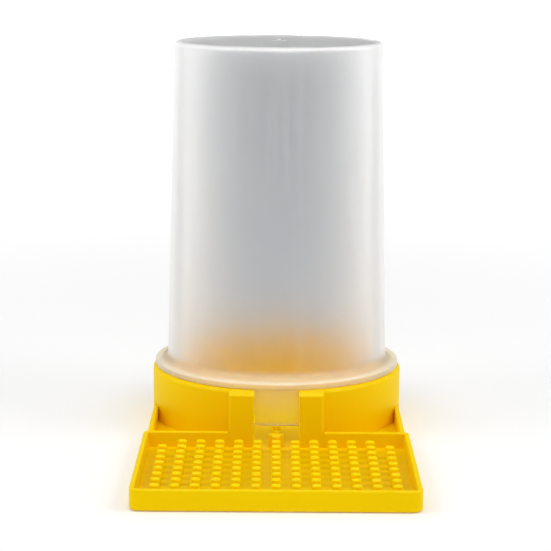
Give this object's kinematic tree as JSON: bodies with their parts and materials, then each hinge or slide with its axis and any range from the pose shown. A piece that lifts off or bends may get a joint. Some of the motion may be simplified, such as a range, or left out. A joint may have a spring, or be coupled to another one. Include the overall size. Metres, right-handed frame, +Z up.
{
  "type": "hive entrance water feeder",
  "caption": "Hive entrance drinker for bees: frosted upturned cup standing in a yellow collar, feeding a low studded tray in front.",
  "frame": {"origin": "on the resting plane, under the centre of the collar and the cup", "axes": "+Z up, -Y towards the drinking tray, which goes into the hive entrance, +X to the right seen from the tray"},
  "size_m": [0.1, 0.1786, 0.1517],
  "materials": {
    "base_plastic": "satin moulded yellow plastic",
    "frosted_plastic": "frosted translucent natural polypropylene"
  },
  "bodies": {
    "base": {"drinking_tray": "base_plastic", "tray_studs": "base_plastic", "collar_pan": "base_plastic", "cup_collar": "base_plastic", "left_gap_post": "base_plastic", "right_gap_post": "base_plastic", "gap_baffle": "base_plastic"},
    "cup": {"reservoir_cup": "frosted_plastic"}
  },
  "joints": [
    {"name": "cup_lift", "type": "slide", "parent": "base", "child": "cup", "axis": [0, 0, 1], "range_m": [0, 0.02]}
  ]
}
